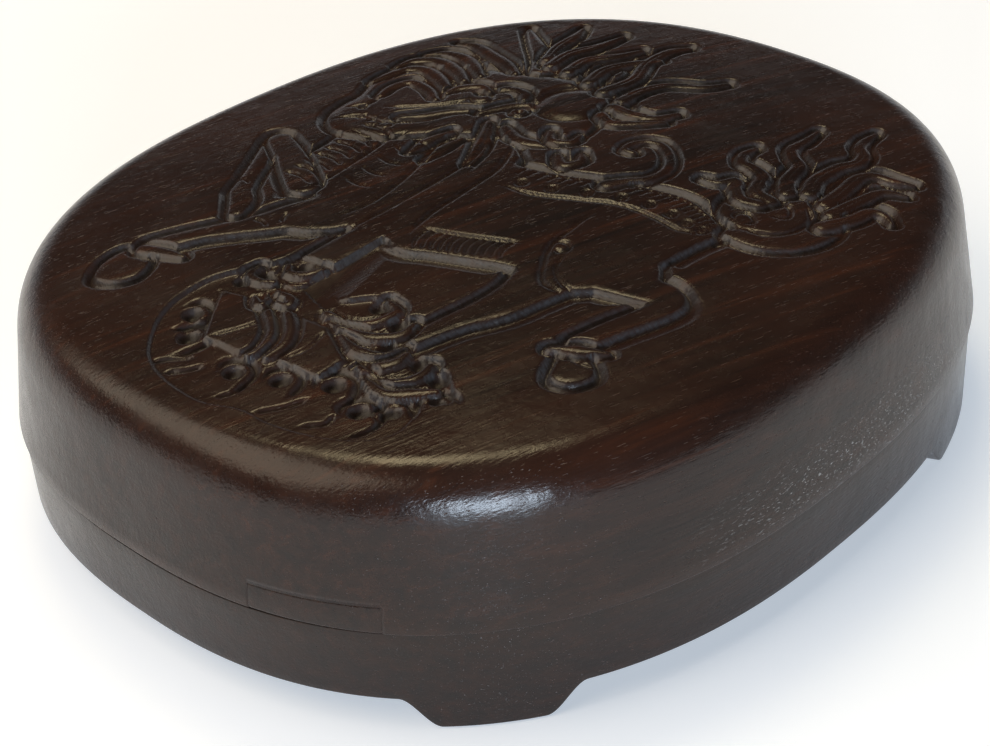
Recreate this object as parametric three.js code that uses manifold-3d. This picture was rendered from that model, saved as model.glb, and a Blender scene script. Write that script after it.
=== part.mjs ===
// Oval lidded box of dark hardwood on four bracket feet, with the inkstone it holds.
// Millimetres, +Z up. X runs along the box's long axis. The origin is on the resting surface,
// under the middle of the box.
import * as THREE from 'three';
import { mergeVertices } from 'three/addons/utils/BufferGeometryUtils.js';
import Module from 'manifold-3d';

const wasm = await Module();
wasm.setup();

// Plan of the box: a superellipse, a little fuller at its +X end.
const HALF_LENGTH = 80;
const HALF_WIDTH = 69.3;
const SQUARENESS = 2.37;
const EGG = 0.009;
const CORE_RADIUS = 30; // inside this radius an oval keeps its proportions down to the centre

// Heights above the resting surface.
const FOOT_HEIGHT = 5;
const BASE_WALL = 12;
const SEAM_Z = FOOT_HEIGHT + BASE_WALL;
const FLOOR_THICKNESS = 5.2;
const SEAM_GAP = 0.3;
const LID_RIM_Z = SEAM_Z + SEAM_GAP;
const LID_WALL_TOP_Z = 32.6;
const SHOULDER_TOP_Z = 40.5;
const CROWN_Z = 43;
const CEILING_Z = 34.8;

// Outer walls: how far each level stands inside the rim of the lid.
const BASE_RIM_INSET = 0.4;
const BASE_FOOT_INSET = 0.5;
const LID_WALL_LEAN = 2.3;
const SHOULDER_INSET = 8.9;
const EDGE_CHAMFER = 0.6;

// Joint between lid and base: a flat land outside, a raised lip inside.
const LAND_WIDTH = 5.2;
const LIP_WIDTH = 3.4;
const LIP_HEIGHT = 3;
const LIP_CLEARANCE = 0.3;
const CORNER_CHAMFER = 3;

// Bracket feet, cut from the same block as the base.
const FOOT_ANGLES_DEG = [-133.4, -61.5, 46.6, 118.5];
const FOOT_SPREAD_DEG = 23;
const FOOT_FLAT = 0.54; // part of the foot's length that stands flat
const FOOT_DEPTH = 9;
const FOOT_ROOT = 2; // how far a foot is sunk into the block it belongs to

// Strip let into the lower edge of the lid.
const REPAIR_FROM_DEG = -163;
const REPAIR_TO_DEG = -145.9;
const REPAIR_HEIGHT = 4;
const REPAIR_DEPTH = 2.4;
const FIT_GAP = 0.3;

// Inkstone.
const STONE_CLEARANCE = 0.6;
const STONE_THICKNESS = 20;
const STONE_BORDER = 6;
const STONE_FIELD_DEPTH = 1.6;
const STONE_CHAMFER = 1.2;
const POOL_FLOOR_Z = 21.2;
const POOL_MARGIN = 9;
const GRINDING_RADIUS = 50;
const GRINDING_CENTRE_X = -18;

const RING_STEPS = 72;

const lipOuter = HALF_LENGTH - LAND_WIDTH;
const cavity = lipOuter - LIP_WIDTH;
const stoneFootZ = FOOT_HEIGHT + FLOOR_THICKNESS + FIT_GAP;
const stoneTopZ = stoneFootZ + STONE_THICKNESS;
const stoneRadius = cavity - STONE_CLEARANCE;

// Point of the oval whose long half-axis is `radius`, at the given parameter angle.
function ovalPoint(angle, radius) {
  const narrowing = HALF_LENGTH - HALF_WIDTH;
  const shortRadius = radius > CORE_RADIUS ? radius - narrowing : radius * (1 - narrowing / CORE_RADIUS);
  const power = 2 / SQUARENESS;
  const c = Math.cos(angle);
  const s = Math.sin(angle);
  const x = radius * Math.sign(c) * Math.abs(c) ** power;
  const y = shortRadius * Math.sign(s) * Math.abs(s) ** power;
  const swell = 1 + EGG * Math.cos(3 * Math.atan2(y, x));
  return [x * swell - EGG * radius, y * swell];
}

// Closed body of oval rings from a profile of [long half-axis, height] pairs that starts and
// ends on the axis.
function ovalBody(profile) {
  const points = profile.map(([radius, height]) => new THREE.Vector2(radius, height));
  const geometry = new THREE.LatheGeometry(points, RING_STEPS).rotateX(Math.PI / 2);
  const place = geometry.attributes.position;
  for (let i = 0; i < place.count; i += 1) {
    const angle = Math.atan2(place.getY(i), place.getX(i));
    const radius = Math.hypot(place.getX(i), place.getY(i));
    const [x, y] = ovalPoint(angle, radius);
    place.setXY(i, x, y);
  }
  return geometry;
}

// Block bent round the oval. `corner(along, across, up)` gives [angle in degrees, long half-axis,
// height] for fractions from 0 to 1: along the wall, from inside to outside, and from below up.
function bentBlock(steps, corner) {
  const geometry = new THREE.BoxGeometry(1, 1, 1, steps, 1, 1);
  const place = geometry.attributes.position;
  for (let i = 0; i < place.count; i += 1) {
    const along = place.getX(i) + 0.5;
    const across = 0.5 - place.getY(i);
    const up = place.getZ(i) + 0.5;
    const [degrees, radius, height] = corner(along, across, up);
    const [x, y] = ovalPoint(THREE.MathUtils.degToRad(degrees), radius);
    place.setXYZ(i, x, y, height);
  }
  return geometry;
}

function toSolid(geometry) {
  const bare = geometry.clone();
  bare.deleteAttribute('normal');
  bare.deleteAttribute('uv');
  const merged = mergeVertices(bare, 1e-4);
  const kept = [];
  for (let i = 0; i < merged.index.count; i += 3) {
    const [a, b, c] = [0, 1, 2].map((k) => merged.index.getX(i + k));
    if (a !== b && b !== c && c !== a) kept.push(a, b, c);
  }
  return new wasm.Manifold(new wasm.Mesh({
    numProp: 3,
    vertProperties: new Float32Array(merged.attributes.position.array),
    triVerts: new Uint32Array(kept),
  }));
}

function toGeometry(solid) {
  const mesh = solid.getMesh();
  const geometry = new THREE.BufferGeometry();
  geometry.setAttribute('position', new THREE.BufferAttribute(new Float32Array(mesh.vertProperties), 3));
  geometry.setIndex(new THREE.BufferAttribute(new Uint32Array(mesh.triVerts), 1));
  geometry.computeVertexNormals();
  return geometry;
}

// Long half-axis of the lid's outer wall at a height.
function lidWallRadius(height) {
  return HALF_LENGTH - LID_WALL_LEAN * (height - LID_RIM_Z) / (LID_WALL_TOP_Z - LID_RIM_Z);
}

function baseBody() {
  const floorZ = FOOT_HEIGHT + FLOOR_THICKNESS;
  const rim = HALF_LENGTH - BASE_RIM_INSET;
  const foot = HALF_LENGTH - BASE_FOOT_INSET;
  return ovalBody([
    [0, FOOT_HEIGHT],
    [foot - EDGE_CHAMFER, FOOT_HEIGHT],
    [foot, FOOT_HEIGHT + EDGE_CHAMFER],
    [rim, SEAM_Z - EDGE_CHAMFER],
    [rim - EDGE_CHAMFER, SEAM_Z],
    [lipOuter, SEAM_Z],
    [lipOuter, SEAM_Z + LIP_HEIGHT - EDGE_CHAMFER],
    [lipOuter - EDGE_CHAMFER, SEAM_Z + LIP_HEIGHT],
    [cavity + EDGE_CHAMFER, SEAM_Z + LIP_HEIGHT],
    [cavity, SEAM_Z + LIP_HEIGHT - EDGE_CHAMFER],
    [cavity, floorZ],
    [0, floorZ],
  ]);
}

// Depth of a foot below the block, as a fraction, along its length: flat in the middle and an
// ogee at each end.
function footFall(along) {
  const end = (1 - FOOT_FLAT) / 2;
  const t = Math.min(along, 1 - along, end) / end;
  return t * t * (3 - 2 * t);
}

function footBlock(middleDeg) {
  const outer = HALF_LENGTH - BASE_FOOT_INSET;
  return bentBlock(16, (along, across, up) => [
    middleDeg + (along - 0.5) * FOOT_SPREAD_DEG,
    outer - FOOT_DEPTH * (1 - across),
    up > 0.5 ? FOOT_HEIGHT + FOOT_ROOT : FOOT_HEIGHT * (1 - footFall(along)),
  ]);
}

function base() {
  const feet = FOOT_ANGLES_DEG.map((middle) => toSolid(footBlock(middle)));
  return toGeometry(feet.reduce((block, foot) => block.add(foot), toSolid(baseBody())));
}

// Outer line of the lid from the top of its wall over the shoulder to the edge of the crown.
function shoulderLine(steps) {
  const wallSlope = LID_WALL_LEAN / (LID_WALL_TOP_Z - LID_RIM_Z);
  const crownSlope = 2 * (CROWN_Z - SHOULDER_TOP_Z) / (HALF_WIDTH - SHOULDER_INSET);
  const start = new THREE.Vector2(HALF_LENGTH - LID_WALL_LEAN, LID_WALL_TOP_Z);
  const end = new THREE.Vector2(HALF_LENGTH - SHOULDER_INSET, SHOULDER_TOP_Z);
  const pull = 0.55;
  const rise = (end.y - start.y) * pull;
  const run = (start.x - end.x) * pull;
  const first = new THREE.Vector2(start.x - wallSlope * rise, start.y + rise);
  const second = new THREE.Vector2(end.x + run, end.y - crownSlope * run);
  return new THREE.CubicBezierCurve(start, first, second, end).getPoints(steps);
}

function crownHeight(radius) {
  const edge = HALF_LENGTH - SHOULDER_INSET;
  return CROWN_Z - (CROWN_Z - SHOULDER_TOP_Z) * (radius / edge) ** 2;
}

function lidBody() {
  const crownRadii = [60, 46, 30, 15, 0];
  const rebateTop = LID_RIM_Z + LIP_HEIGHT + LIP_CLEARANCE;
  const rebate = lipOuter + LIP_CLEARANCE;
  return ovalBody([
    [0, CEILING_Z],
    [cavity - CORNER_CHAMFER, CEILING_Z],
    [cavity, CEILING_Z - CORNER_CHAMFER],
    [cavity, rebateTop],
    [rebate, rebateTop],
    [rebate, LID_RIM_Z],
    [HALF_LENGTH - EDGE_CHAMFER, LID_RIM_Z],
    [lidWallRadius(LID_RIM_Z + EDGE_CHAMFER), LID_RIM_Z + EDGE_CHAMFER],
    [lidWallRadius(25), 25],
    ...shoulderLine(6).map((point) => [point.x, point.y]),
    ...crownRadii.map((radius) => [radius, crownHeight(radius)]),
  ]);
}

// The strip, or the pocket that it sits in when `room` is the gap left all round it.
function repairBlock(room) {
  const spread = room * 180 / (Math.PI * HALF_LENGTH);
  const below = room > 0 ? room * 2 : 0;
  return bentBlock(20, (along, across, up) => {
    const height = LID_RIM_Z - below + (REPAIR_HEIGHT + below + room) * up;
    const outside = room > 0 ? room * 2 : 0;
    return [
      THREE.MathUtils.lerp(REPAIR_FROM_DEG - spread, REPAIR_TO_DEG + spread, along),
      across > 0.5 ? lidWallRadius(height) + outside : HALF_LENGTH - REPAIR_DEPTH - room,
      height,
    ];
  });
}

function lid() {
  return toGeometry(toSolid(lidBody()).subtract(toSolid(repairBlock(FIT_GAP))));
}

// Crescent ink pool between the border of the stone and the round grinding surface.
function poolSolid() {
  const height = stoneTopZ - POOL_FLOOR_Z + 1;
  const poolRadius = stoneRadius - POOL_MARGIN;
  const outline = new THREE.Shape(Array.from({ length: RING_STEPS }, (_, i) => {
    const [x, y] = ovalPoint(i / RING_STEPS * 2 * Math.PI, poolRadius);
    return new THREE.Vector2(x, y);
  }));
  const disc = new THREE.CylinderGeometry(GRINDING_RADIUS, GRINDING_RADIUS, height + 2, RING_STEPS);
  disc.rotateX(Math.PI / 2).translate(GRINDING_CENTRE_X, 0, POOL_FLOOR_Z + height / 2);
  const block = new THREE.ExtrudeGeometry(outline, { depth: height, bevelEnabled: false });
  block.translate(0, 0, POOL_FLOOR_Z);
  return toSolid(block).subtract(toSolid(disc));
}

function inkstone() {
  const fieldRadius = stoneRadius - STONE_BORDER;
  const fieldZ = stoneTopZ - STONE_FIELD_DEPTH;
  const body = ovalBody([
    [0, stoneFootZ],
    [stoneRadius - STONE_CHAMFER, stoneFootZ],
    [stoneRadius, stoneFootZ + STONE_CHAMFER],
    [stoneRadius, stoneTopZ - STONE_CHAMFER],
    [stoneRadius - STONE_CHAMFER, stoneTopZ],
    [fieldRadius + STONE_CHAMFER, stoneTopZ],
    [fieldRadius, fieldZ],
    [0, fieldZ],
  ]);
  return toGeometry(toSolid(body).subtract(poolSolid()));
}

const darkWood = { color: 0x2e1d17, roughness: 0.42, metalness: 0 };
const repairWood = { color: 0x35211a, roughness: 0.48, metalness: 0 };
const slate = { color: 0x2c2b30, roughness: 0.6, metalness: 0 };

function piece(name, geometry, finish) {
  const mesh = new THREE.Mesh(geometry, new THREE.MeshStandardMaterial(finish));
  mesh.name = name;
  return mesh;
}

const box = new THREE.Group();
box.add(piece('base', base(), darkWood));
box.add(piece('inkstone', inkstone(), slate));
box.add(piece('lid', lid(), darkWood));
box.add(piece('lid_rim_repair', repairBlock(0), repairWood));

export default box;
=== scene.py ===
"""Oval inkstone box of dark hardwood, its lid carved with a hoofed beast over waves."""

import math

import bmesh
import bpy
import numpy as np
from mathutils import Matrix, Vector


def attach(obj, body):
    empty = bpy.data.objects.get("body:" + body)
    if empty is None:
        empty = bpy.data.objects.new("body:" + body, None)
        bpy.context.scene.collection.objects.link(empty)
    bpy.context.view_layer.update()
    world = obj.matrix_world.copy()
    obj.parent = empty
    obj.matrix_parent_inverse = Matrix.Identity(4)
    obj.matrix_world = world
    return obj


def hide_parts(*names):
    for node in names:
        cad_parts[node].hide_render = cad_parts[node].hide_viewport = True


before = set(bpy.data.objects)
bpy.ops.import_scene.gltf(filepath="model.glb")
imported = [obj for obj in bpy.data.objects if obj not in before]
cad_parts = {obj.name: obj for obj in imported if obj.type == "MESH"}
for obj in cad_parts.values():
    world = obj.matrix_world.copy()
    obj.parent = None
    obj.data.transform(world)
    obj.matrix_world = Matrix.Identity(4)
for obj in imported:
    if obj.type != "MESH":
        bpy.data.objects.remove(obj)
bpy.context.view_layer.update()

MM = 0.001

# The oval of the box, in millimetres: a superellipse, a little fuller at its +X end.
HALF_LENGTH = 80.0
HALF_WIDTH = 69.3
SQUARENESS = 2.37
EGG = 0.009

# Heights in millimetres above the resting surface.
FOOT_HEIGHT = 5.0
FLOOR_Z = 10.2
SEAM_Z = 17.0
LIP_TOP_Z = 20.0
LID_RIM_Z = 17.3
SHUT_Z = 17.05  # where the rim of the lid almost touches the base
LID_WALL_TOP_Z = 32.6
SHOULDER_TOP_Z = 40.5
CROWN_Z = 43.0
CEILING_Z = 34.8

# Long half-axes in millimetres.
CROWN_EDGE = 71.1
LID_WALL_LEAN = 2.3
BASE_RIM = 79.6
BASE_FOOT = 79.5
LIP_OUTER = 74.8
CAVITY = 71.4
REBATE = 75.1
STONE_EDGE = 70.8

# Feet and the strip let into the lid: places along the oval, in degrees of its parameter.
FOOT_MIDDLES = (-133.4, -61.5, 46.6, 118.5)
FOOT_SPREAD = 23.0
FOOT_FLAT = 0.54
STRIP_FROM = -163.0
STRIP_TO = -145.9
STRIP_TOP_Z = 21.3
STRIP_DEPTH = 2.4
STRIP_JOINT = 0.012

CROWN_CELLS = 400  # cells along each side of the grid that covers the carved top
WALL_RUN = 0.7  # how far out the steep wall round a carved figure reaches
DEEPEST_CUT = 2.2
PHOTO_SIDE = (-0.695, -0.719)  # the way, seen from above, that the photograph's viewer stands


# ---------------------------------------------------------------- the oval and mesh building

def even_angle(degrees):
    """Direction angle used by these meshes for a place given in the CAD oval's own parameter."""
    t = math.radians(degrees)
    power = 2 / SQUARENESS
    x = math.copysign(abs(math.cos(t)) ** power, math.cos(t))
    y = math.copysign(abs(math.sin(t)) ** power, math.sin(t))
    return math.atan2(y, x)


def oval(angles, long_half, short_half=None):
    """Points of the oval of that long half-axis at the angles, as an array of x, y in millimetres."""
    if short_half is None:
        short_half = long_half - (HALF_LENGTH - HALF_WIDTH)
    c, s = np.cos(angles), np.sin(angles)
    reach = (np.abs(c) ** SQUARENESS + np.abs(s) ** SQUARENESS) ** (-1 / SQUARENESS)
    x, y = long_half * c * reach, short_half * s * reach
    swell = 1 + EGG * np.cos(3 * np.arctan2(y, x))
    return np.stack([x * swell - EGG * long_half, y * swell], axis=-1)


def disc_grid(cells):
    """Square grid mapped onto the unit disc: radius, angle and the ring of outer vertices in order."""
    line = np.linspace(-1, 1, cells + 1)
    u, v = np.meshgrid(line, line, indexing="ij")
    x, y = u * np.sqrt(1 - v * v / 2), v * np.sqrt(1 - u * u / 2)
    number = np.arange((cells + 1) ** 2).reshape(cells + 1, cells + 1)
    ring = np.concatenate([number[:-1, 0], number[-1, :-1], number[:0:-1, -1], number[0, :0:-1]])
    quads = np.stack([number[:-1, :-1], number[1:, :-1], number[1:, 1:], number[:-1, 1:]], axis=-1)
    return np.hypot(x, y).ravel(), np.arctan2(y, x).ravel(), ring, quads.reshape(-1, 4)


class Shell:
    """Vertices in millimetres and faces of one closed skin."""

    def __init__(self):
        self.points, self.faces, self.count = [], [], 0

    def add(self, xy, z):
        points = np.column_stack([xy, np.broadcast_to(z, len(xy))])
        self.points.append(points)
        first = self.count
        self.count += len(points)
        return np.arange(first, self.count)

    def bridge(self, a, b):
        """Faces between two rings; the finer ring may have a whole number of steps for each of b's."""
        steps = len(a) // len(b)
        for i in range(len(b)):
            j = (i + 1) % len(b)
            run = [a[(i * steps + k) % len(a)] for k in range(steps + 1)]
            self.faces.append([*map(int, run), int(b[j]), int(b[i])])

    def rings(self, start, angles, profile):
        """Rings of (long half-axis, height) joined one after another from the ring `start`."""
        for long_half, z in profile:
            ring = self.add(oval(angles, long_half), z)
            self.bridge(start, ring)
            start = ring
        return start

    def cover(self, ring, angles, long_half, z):
        """A plain disc inside a ring: smaller rings and a middle vertex."""
        for share in (0.75, 0.5, 0.25):
            inner = self.add(oval(angles, long_half) * share, z)
            self.bridge(ring, inner)
            ring = inner
        middle = int(self.add(np.zeros((1, 2)), z)[0])
        self.faces += [[int(a), int(b), middle] for a, b in zip(ring, np.roll(ring, -1))]

    def all_points(self):
        return np.concatenate(self.points)

    def build(self, name, points=None, marks=None):
        points = self.all_points() if points is None else points
        mesh = bpy.data.meshes.new(name)
        mesh.from_pydata((points * MM).tolist(), [], self.faces)
        mesh.update()
        for mark, values in (marks or {}).items():
            mesh.attributes.new(mark, "FLOAT", "POINT").data.foreach_set("value", values.astype(np.float32))
        return finish_mesh(name, mesh)


def finish_mesh(name, mesh):
    work = bmesh.new()
    work.from_mesh(mesh)
    bmesh.ops.recalc_face_normals(work, faces=work.faces)
    work.to_mesh(mesh)
    work.free()
    mesh.shade_smooth()
    piece = bpy.data.objects.new(name, mesh)
    bpy.context.scene.collection.objects.link(piece)
    return piece


def arc_profile(middle, radius, from_degrees, to_degrees, steps=4):
    """Points of a rounded edge: (long half-axis, height) round a middle."""
    turn = np.radians(np.linspace(from_degrees, to_degrees, steps + 1))
    return [(middle[0] + radius * math.cos(t), middle[1] + radius * math.sin(t)) for t in turn]


# ---------------------------------------------------------------- carving tools

def smooth_line(points, closed=False, steps=6):
    """Points along a smooth curve through the given ones (Catmull-Rom)."""
    p = np.asarray(points, float)
    p = np.vstack([p[-1:], p, p[:2]]) if closed else np.vstack([2 * p[0] - p[1], p, 2 * p[-1] - p[-2]])
    t = np.linspace(0, 1, steps, endpoint=False)[:, None]
    parts = [
        0.5 * (2 * b + (c - a) * t + (2 * a - 5 * b + 4 * c - d) * t**2 + (3 * b - a - 3 * c + d) * t**3)
        for a, b, c, d in zip(p, p[1:], p[2:], p[3:])
    ]
    line = np.vstack(parts)
    return line if closed else np.vstack([line, p[-2]])


def nearest(x, y, a, b):
    """Distance to the stretch from a to b, and how far along it the nearest point is, 0 to 1."""
    dx, dy = b[0] - a[0], b[1] - a[1]
    t = np.clip(((x - a[0]) * dx + (y - a[1]) * dy) / max(dx * dx + dy * dy, 1e-9), 0, 1)
    return np.hypot(x - a[0] - t * dx, y - a[1] - t * dy), t


class Stroke:
    """A tapered limb or strand: (x, y, half-width) points joined by a smooth curve."""

    def __init__(self, *points, line=None):
        self.line = smooth_line(points) if line is None else line
        self.line[:, 2] = np.maximum(self.line[:, 2], 0.05)

    def corners(self):
        r = self.line[:, 2].max()
        return self.line[:, :2].min(0) - r, self.line[:, :2].max(0) + r

    def distance(self, x, y):
        best = np.full(x.shape, np.inf)
        for a, b in zip(self.line, self.line[1:]):
            d, t = nearest(x, y, a, b)
            best = np.minimum(best, d - (a[2] + t * (b[2] - a[2])))
        return best


class Outline:
    """A closed smooth outline through its points."""

    def __init__(self, *points, smooth=True):
        self.line = smooth_line(points, closed=True) if smooth else np.asarray(points, float)

    def corners(self):
        return self.line.min(0), self.line.max(0)

    def distance(self, x, y):
        edge = np.full(x.shape, np.inf)
        inside = np.zeros(x.shape, bool)
        for a, b in zip(self.line, np.roll(self.line, -1, axis=0)):
            edge = np.minimum(edge, nearest(x, y, a, b)[0])
            if a[1] != b[1]:
                crosses = (a[1] > y) != (b[1] > y)
                inside ^= crosses & (x < (b[0] - a[0]) * (y - a[1]) / (b[1] - a[1]) + a[0])
        return np.where(inside, -edge, edge)


class Relief:
    """Heights carved into the lid's top, in millimetres from the plain surface."""

    def __init__(self, x, y):
        self.x, self.y = x, y
        self.height = np.zeros(len(x))

    def close_to(self, shapes, margin):
        low = np.min([s.corners()[0] for s in shapes], axis=0) - margin
        high = np.max([s.corners()[1] for s in shapes], axis=0) + margin
        return np.flatnonzero((self.x > low[0]) & (self.x < high[0]) & (self.y > low[1]) & (self.y < high[1]))

    def figure(self, *shapes, level=0.0, soft=1.3, drop=0.2, moat=2.0, depth=1.4, wide=0.0):
        """Shapes stand at `level`, rounded down by `drop` over `soft` at their edge, with a steep wall
        below. The ground round them rises from `depth` under the level back to the plain surface over
        `moat`, and over more on the side that faces the lid's near left end, by the share `wide`."""
        at = self.close_to(shapes, moat * (1 + wide) + WALL_RUN)
        x, y = self.x[at], self.y[at]
        d = np.min([s.distance(x, y) for s in shapes], axis=0)
        if wide:
            step = 0.1
            ahead = [s.distance(x + PHOTO_SIDE[0] * step, y + PHOTO_SIDE[1] * step) for s in shapes]
            facing = (np.min(ahead, axis=0) - d) / step
            moat = moat * (1 + wide * np.clip(facing * 1.3, 0, 1))
        ground = (level - depth) * np.clip(1 - (d - WALL_RUN) / moat, 0, 1) ** 1.1
        wall = level - drop - (depth - drop) * np.clip(d / WALL_RUN, 0, 1)
        top = level - drop * (1 - np.clip(-d / soft, 0, 1)) ** 2
        around = np.minimum(self.height[at], np.where(d < WALL_RUN, wall, ground))
        self.height[at] = np.where(d > 0, around, top)

    def sink(self, area, depth, run):
        """Lower everything inside the area to `depth`, over `run` in from its edge."""
        at = self.close_to([area], 0)
        inward = -area.distance(self.x[at], self.y[at])
        self.height[at] = np.minimum(self.height[at], -depth * smooth_step(inward / run))

    def slope(self, area, line, width, depth):
        """Inside the area the surface falls away from the line, to `depth` at `width` from it."""
        at = self.close_to([area], 0)
        x, y = self.x[at], self.y[at]
        line = np.asarray(line, float)
        away = np.min([nearest(x, y, a, b)[0] for a, b in zip(line, line[1:])], axis=0)
        fall = -depth * np.clip(away / width, 0, 1)
        self.height[at] = np.where(area.distance(x, y) < 0, np.minimum(self.height[at], fall),
            self.height[at])

    def groove(self, *points, width=0.7, depth=0.45, closed=False):
        """A cut with a rounded floor along a smooth line, running out at its ends."""
        line = smooth_line(points, closed)
        if closed:
            line = np.vstack([line, line[:1]])
        share = np.linspace(0, 1, len(line))
        taper = np.ones(len(line)) if closed else np.clip(4 * np.minimum(share, 1 - share) + 0.35, 0, 1)
        cut = Stroke(line=np.column_stack([line, taper * width]))
        at = self.close_to([cut], 0.2)
        d = cut.distance(self.x[at], self.y[at])
        self.height[at] -= depth * smooth_step(-d / width * 0.5 + 0.02) * 2

    def pit(self, x, y, radius, depth=0.8):
        """A round hole with sloping sides."""
        at = np.flatnonzero(np.hypot(self.x - x, self.y - y) < radius)
        share = np.hypot(self.x[at] - x, self.y[at] - y) / radius
        self.height[at] = np.minimum(self.height[at], self.height[at] - depth * np.clip(1.6 * (1 - share),
            0, 1))

    def ring(self, x, y, radius, width=0.45, depth=0.35):
        turn = np.linspace(0, 2 * np.pi, 9)[:-1]
        points = [(x + radius * math.cos(t), y + radius * math.sin(t)) for t in turn]
        self.groove(*points, width=width, depth=depth, closed=True)

    def strand(self, *points, level=-0.1, moat=0.7, depth=1.1):
        """A raised, rounded strand with a narrow cut along both sides."""
        shape = Stroke(*points)
        half = shape.line[:, 2].max()
        self.figure(shape, level=level, soft=half, drop=0.35, moat=moat, depth=depth)


# ---------------------------------------------------------------- the carved beast over waves

def carve_legs_and_body(relief):
    torso = Outline(
        (7, 3), (9, -5), (12, -12), (15, -20), (16, -26), (14.5, -31), (12.5, -36), (6, -35.3), (-2, -34.8),
        (-9, -34.5), (-15, -31), (-17.8, -26), (-17, -19), (-19.5, -12), (-22, -6), (-24, -1.5), (-24, 7),
        (-24, 12), (-22, 18), (-19, 24.3), (-17, 30), (-12, 34), (-6, 35), (0, 36), (5, 32), (9, 26),
        (12, 18),
        (12, 10), (9.5, 5),
    )
    far_foreleg = Stroke(
        (-46, 31.5, 2), (-40, 28.5, 1.9), (-35, 25, 2.3), (-31, 22.2, 3), (-27, 20, 4), (-22, 16, 6),
        (-14, 15, 7),
    )
    far_hoof = Outline(
        (-57.5, 31.5), (-54.5, 33.8), (-50, 34.2), (-48.6, 31.5), (-48.5, 29.2), (-51.5, 27),
        (-54.5, 26.5), (-57, 28.5),
    )
    fetlock = Stroke((-47.6, 32, 1.3), (-46.3, 28, 1.2), (-45.6, 24.8, 0.5))
    raised_shin = Stroke((-9.5, 44.2, 1.9), (-16, 40.3, 1.5), (-22, 36.6, 1.4), (-26.3, 33.9, 1.7))
    raised_hoof = Stroke((-26.5, 33.5, 1.8), (-28.5, 31, 1.9), (-31.5, 28.8, 1.2))
    raised_arm = Stroke((-9.5, 43.5, 2), (-12.5, 37.5, 2.4), (-16, 31.5, 2.6), (-19, 26.5, 2.6))
    straight_hind = Stroke(
        (-12, -24.5, 6), (-20, -24.8, 4), (-26, -24.4, 3.2), (-33, -22.5, 2), (-41, -20.8, 1.4),
    )
    bent_hind = Stroke(
        (-7, -30, 7), (-8.5, -36, 3.8), (-8, -40.5, 3), (-9, -42.6, 2.4), (-13, -42.5, 2), (-19, -41, 1.8),
        (-25, -39.8, 1.7),
    )
    hind_hoof = Outline(
        (-27.5, -39), (-30.5, -40.5), (-34, -42.5), (-33.4, -45.5), (-30, -46.8), (-27.6, -44.4),
        (-26.5, -41.8),
    )
    hind_fetlock = Stroke((-24.4, -44.6, 0.4), (-26.6, -41, 1.2), (-29, -37.6, 0.4))
    near_foreleg = Stroke((4, 7.5, 3.4), (-2, 6.5, 3), (-12, 6.3, 2.8), (-24, 6, 2.9), (-38, 6, 2.9))
    relief.figure(
        torso, far_foreleg, raised_arm, straight_hind, bent_hind, near_foreleg,
        moat=1.2, depth=1.4, wide=1.6,
    )
    relief.slope(
        Outline((-23.2, 3), (-24, -1.5), (-30, -3.3), (-38, -5.5), (-40.5, -9), (-42, -4),
            (-40, 3.2), smooth=False),
        [(-24, -1.5), (-31, -3.6), (-38, -5.5), (-40.5, -9)], 5.5, 1.4,
    )
    relief.figure(far_hoof, hind_hoof, moat=1.2, depth=1.6, level=-0.05, wide=0.6)
    relief.figure(fetlock, hind_fetlock, soft=1, drop=0.3, moat=0.8, depth=1.2, wide=0.5)
    relief.figure(raised_shin, raised_hoof, moat=1.2, depth=1.3, wide=0.5)
    relief.figure(raised_arm, moat=0.6, depth=1.1)
    relief.groove((-50.5, 33.6), (-49.6, 31), (-50, 28.2), width=0.6)
    relief.groove((-28.4, -46), (-29, -43), (-28.2, -40.2), width=0.6)
    relief.groove((-31.5, 24.4), (-31.2, 22.4), (-31.8, 20.6), width=0.6)
    relief.groove((-29.5, 19.6), (-28.4, 20.8), (-26.8, 21.2), width=0.6)
    relief.groove((-24, 37.6), (-23.4, 36), (-23.8, 34.6), width=0.5)


def carve_muscles(relief):
    """Lines that part the limbs from the body, and the curls on the haunch."""
    relief.groove(
        (3, -17.5), (-5, -18), (-9, -19), (-13, -21.5), (-17, -25), (-17.8, -30), width=1.0, depth=0.6,
    )
    relief.groove((-8, -18.5), (-6.6, -20.3), (-7.6, -21.9), (-9.3, -21.4), (-8.9, -20), width=0.7)
    relief.groove((-8.5, -22.2), (-13, -24), (-15.6, -27.5), (-16.2, -31), width=0.6, depth=0.35)
    relief.groove((10.5, -35), (11.6, -36.4), (10.4, -37.8), (9, -36.9), (9.6, -35.9), width=0.6)
    relief.groove((15.5, 17.5), (9, 13), (3, 10.6), (-6, 9.7), (-16, 9.4), (-27, 9.2), width=1.1, depth=0.6)
    relief.groove((12.5, 9), (8, 6.6), (3, 4.6), (-6, 3.5), (-14, 2.6), (-20, 0.5), width=1.1, depth=0.6)
    relief.groove((12, 14), (6, 9.7), (0, 7.4), width=0.6, depth=0.3)
    relief.groove((-23, 13.5), (-16, 13), (-8, 14.5), (0, 17.5), (6, 20.5), width=0.9, depth=0.5)


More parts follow.
